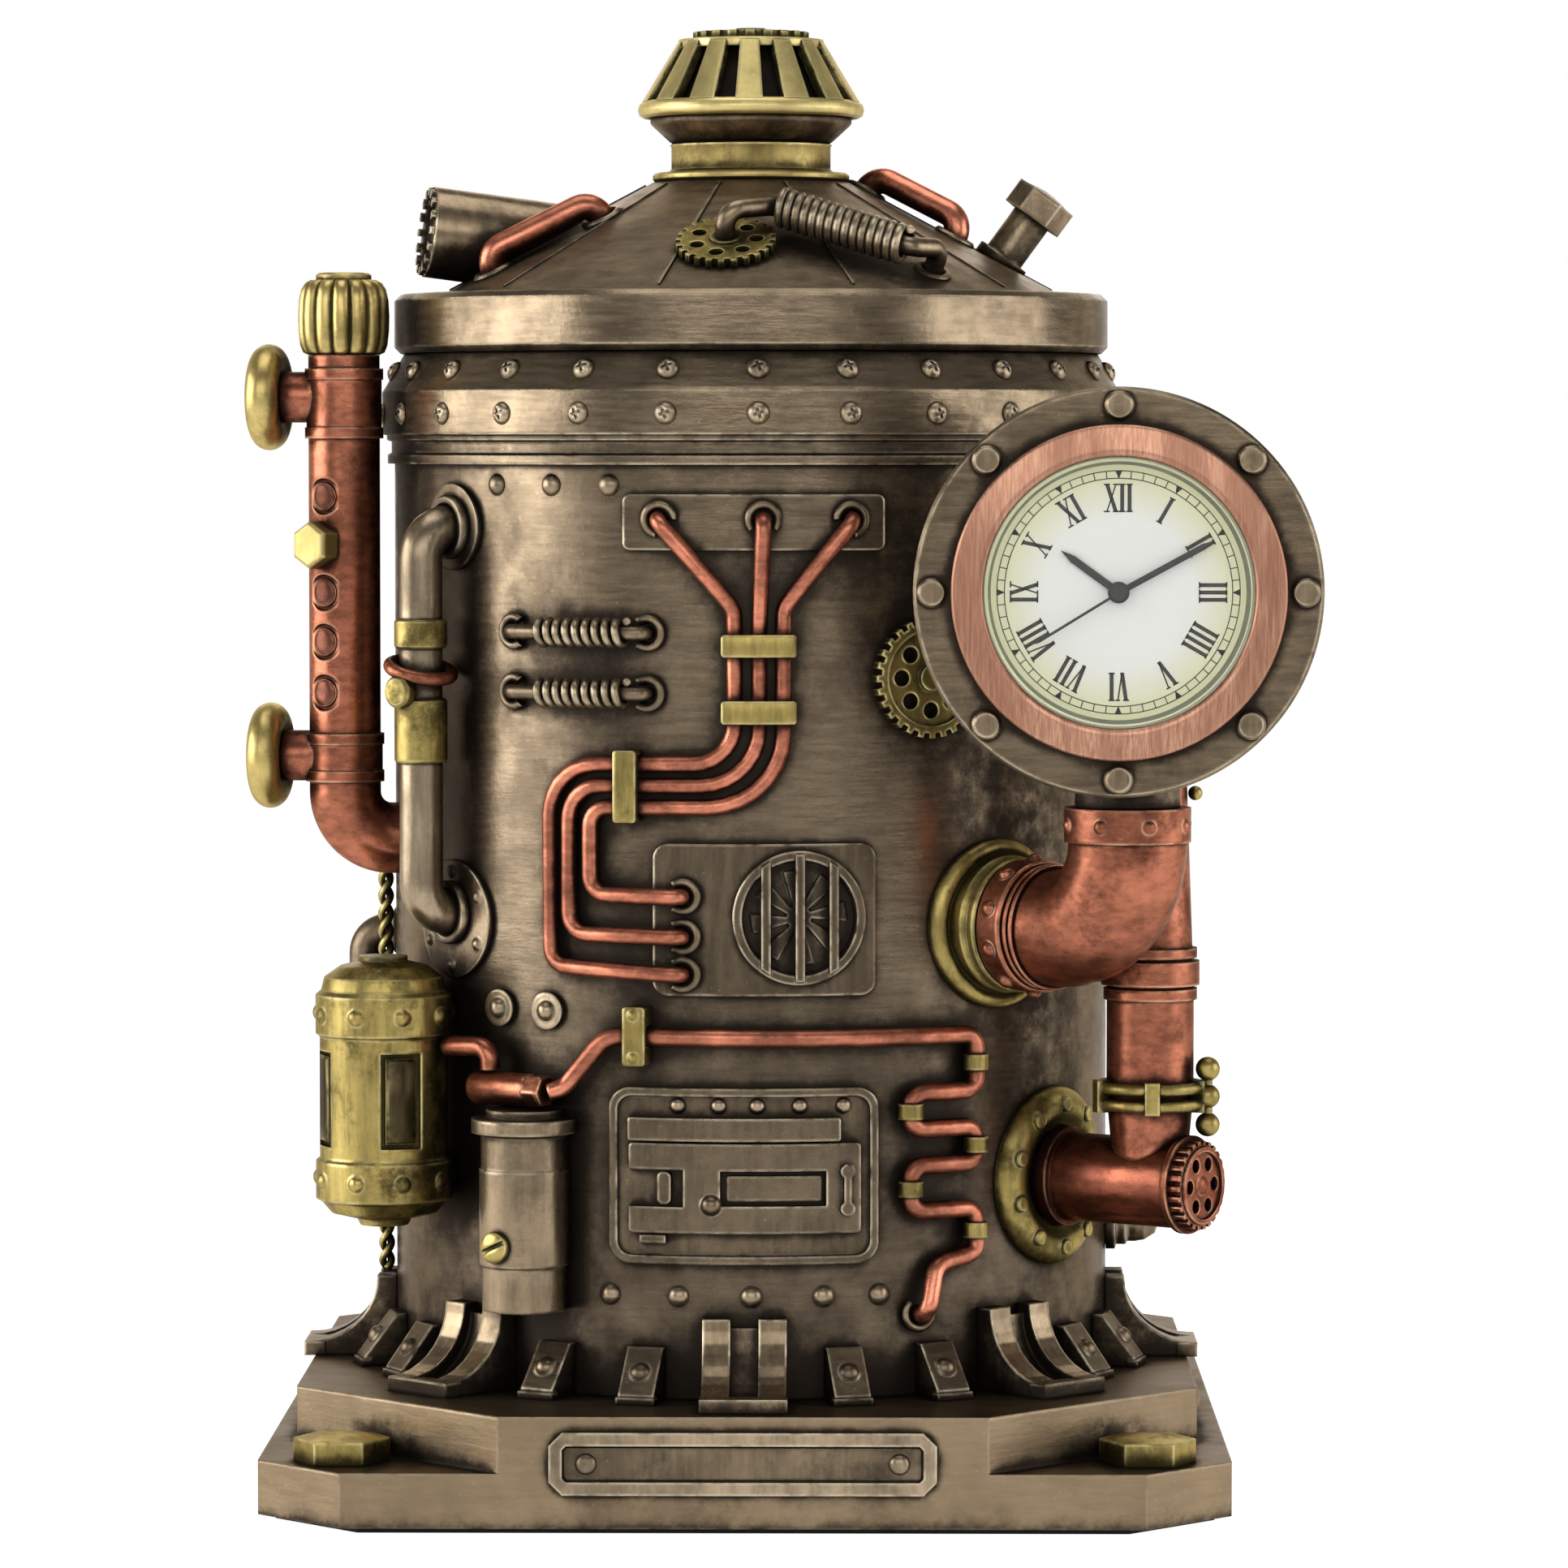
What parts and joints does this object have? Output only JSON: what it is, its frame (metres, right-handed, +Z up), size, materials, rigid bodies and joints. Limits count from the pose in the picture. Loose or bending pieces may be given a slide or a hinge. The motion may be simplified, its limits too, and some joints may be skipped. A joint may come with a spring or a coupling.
{
  "type": "trinket box clock",
  "caption": "Boiler-shaped trinket box with a lift-off cone lid, cast pipework and wires round its wall, and a round insert clock held in front on an elbow pipe.",
  "frame": {"origin": "centre of the resting face, on the boiler axis", "axes": "+Z up along the boiler axis, -Y toward the front where the dial faces, +X to the right as seen from the front"},
  "size_m": [0.133, 0.1223, 0.1846],
  "materials": {
    "bronze": "antique bronze patina, dry-brushed edges",
    "copper": "satin copper over a dark wash",
    "brass": "aged brass, dark in recesses",
    "felt": "short black felt",
    "bezel_copper": "brushed copper plate",
    "crystal_glass": "clear polished",
    "dial_paper": "printed cream card",
    "black_plastic": "fine moulded texture",
    "cell_steel": "drawn nickel plate",
    "hand_black": "black lacquer"
  },
  "bodies": {
    "boiler": {"base_plinth": "bronze", "felt_pad": "felt", "corner_bolts": "brass", "name_plate": "bronze", "buttress_brackets": "bronze", "anchor_tabs": "bronze", "boiler_shell": "bronze", "flange_ring": "bronze", "collar_screws": "bronze", "wall_rivets": "bronze", "terminal_plate": "bronze", "grommets": "bronze", "harness_wires": "copper", "harness_clips": "brass", "spring_rods": "bronze", "front_springs": "bronze", "vent_plate": "bronze", "vent_grille": "bronze", "door_plate": "bronze", "door_latch": "bronze", "steam_line": "copper", "line_unions": "brass", "feed_hose": "copper", "brass_tank": "brass", "tank_cable": "brass", "cartridge": "bronze", "cartridge_screw": "brass", "standpipe": "copper", "standpipe_cap": "brass", "handwheels": "brass", "side_rail": "bronze", "rail_discs": "bronze", "rail_sleeves": "brass", "clock_elbow": "copper", "pipe_flanges": "brass", "lower_pipe": "copper", "gear_cap": "copper", "riser_pipe": "copper", "wire_clamp": "brass", "wall_gear": "brass", "side_stub": "bronze", "clock_housing": "bronze", "housing_studs": "bronze"},
    "lid": {"lid": "bronze", "finial_neck": "brass", "finial_cage": "brass", "lid_fittings": "bronze", "lid_hoses": "copper", "lid_gear": "brass", "lid_rod": "bronze", "lid_spring": "bronze"},
    "clock_insert": {"clock_bezel": "bezel_copper", "crystal": "crystal_glass", "dial": "dial_paper", "movement": "black_plastic", "battery": "cell_steel"},
    "hour": {"hour_hand": "hand_black"},
    "minute": {"minute_hand": "hand_black"},
    "second": {"second_hand": "hand_black"},
    "knob": {"setting_knob": "black_plastic"}
  },
  "joints": [
    {"name": "lid_lift", "type": "slide", "parent": "boiler", "child": "lid", "axis": [0, 0, 1], "range_m": [0, 0.06]},
    {"name": "clock_pull", "type": "slide", "parent": "boiler", "child": "clock_insert", "axis": [0, -1, 0], "range_m": [0, 0.03]},
    {"name": "minute_turn", "type": "hinge", "parent": "clock_insert", "child": "minute", "pos_m": [0.045, -0.0605, 0.1138], "axis": [0, 1, 0], "continuous": true},
    {"name": "hour_turn", "type": "hinge", "parent": "clock_insert", "child": "hour", "pos_m": [0.045, -0.0605, 0.1138], "axis": [0, 1, 0], "continuous": true},
    {"name": "second_turn", "type": "hinge", "parent": "clock_insert", "child": "second", "pos_m": [0.045, -0.0605, 0.1138], "axis": [0, 1, 0], "continuous": true},
    {"name": "knob_turn", "type": "hinge", "parent": "clock_insert", "child": "knob", "pos_m": [0.052, -0.0484, 0.1178], "axis": [0, 1, 0], "continuous": true}
  ],
  "couplings": [
    {"joint": "hour_turn", "follows": "minute_turn", "ratio": 0.083333},
    {"joint": "knob_turn", "follows": "minute_turn", "ratio": 1}
  ]
}
